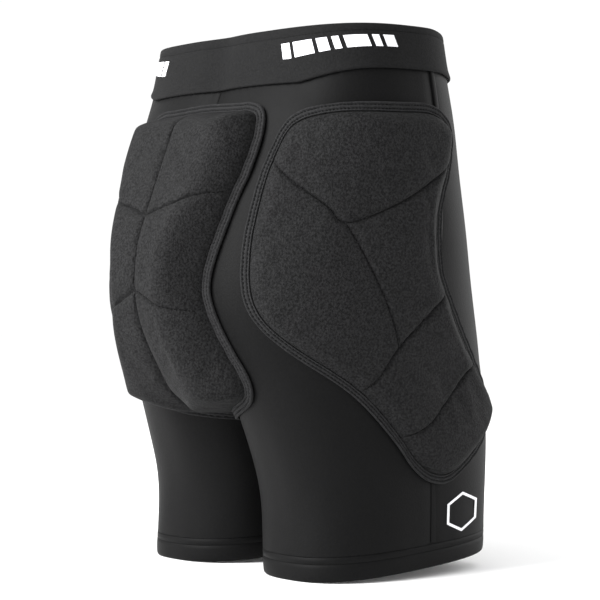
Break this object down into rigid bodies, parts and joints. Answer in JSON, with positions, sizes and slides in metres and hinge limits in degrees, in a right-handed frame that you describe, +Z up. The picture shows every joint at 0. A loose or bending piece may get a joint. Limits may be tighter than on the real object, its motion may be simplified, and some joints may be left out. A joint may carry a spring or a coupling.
{
  "type": "padded impact shorts",
  "caption": "Stretch shorts with a thick quilted foam seat pad, quilted foam hip pads, taped pad edges and a wide elastic waistband.",
  "frame": {"origin": "middle of the bounding box's bottom face, at the level of the lowest point of the hems", "axes": "+Z up to the waist, -Y to the wearer's front, +X to the wearer's left"},
  "size_m": [0.3672, 0.3192, 0.4801],
  "materials": {
    "stretch_knit": "smooth stretch knit, soft sheen",
    "pad_knit": "coarse speckled knit, matt",
    "band_knit": "fine ribbed elastic knit, matt",
    "binding": "flat stitched tape, matt",
    "thread": "sewing thread, matt",
    "foam": "closed-cell foam, matt",
    "elastic": "woven elastic, matt",
    "print": "rubbery transfer print, satin",
    "label": "satin ribbon, matt"
  },
  "bodies": {
    "root": {"waistband_outer": "band_knit", "waistband_elastic": "elastic", "waistband_lining": "band_knit", "care_label": "label", "waist_print_right": "print", "waist_print_left": "print", "back_panel_right": "stretch_knit", "back_panel_left": "stretch_knit", "front_panel_right": "stretch_knit", "front_panel_left": "stretch_knit", "hem_right": "stretch_knit", "hem_left": "stretch_knit", "gusset": "stretch_knit", "seam_centre_back": "thread", "seam_centre_front": "thread", "seam_side_right": "thread", "seam_side_left": "thread", "inseam_right": "thread", "inseam_left": "thread", "seat_cover": "pad_knit", "seat_binding": "binding", "seat_foam_upper_right": "foam", "seat_foam_upper_left": "foam", "seat_foam_middle_right": "foam", "seat_foam_middle_left": "foam", "seat_foam_lower_right": "foam", "seat_foam_lower_left": "foam", "hip_cover_right": "pad_knit", "hip_cover_left": "pad_knit", "hip_binding_right": "binding", "hip_binding_left": "binding", "hip_foam_top_right": "foam", "hip_foam_top_left": "foam", "hip_foam_front_right": "foam", "hip_foam_front_left": "foam", "hip_foam_rear_right": "foam", "hip_foam_rear_left": "foam", "hip_foam_thigh_right": "foam", "hip_foam_thigh_left": "foam", "hip_foam_low_right": "foam", "hip_foam_low_left": "foam", "leg_print": "print"}
  },
  "joints": []
}
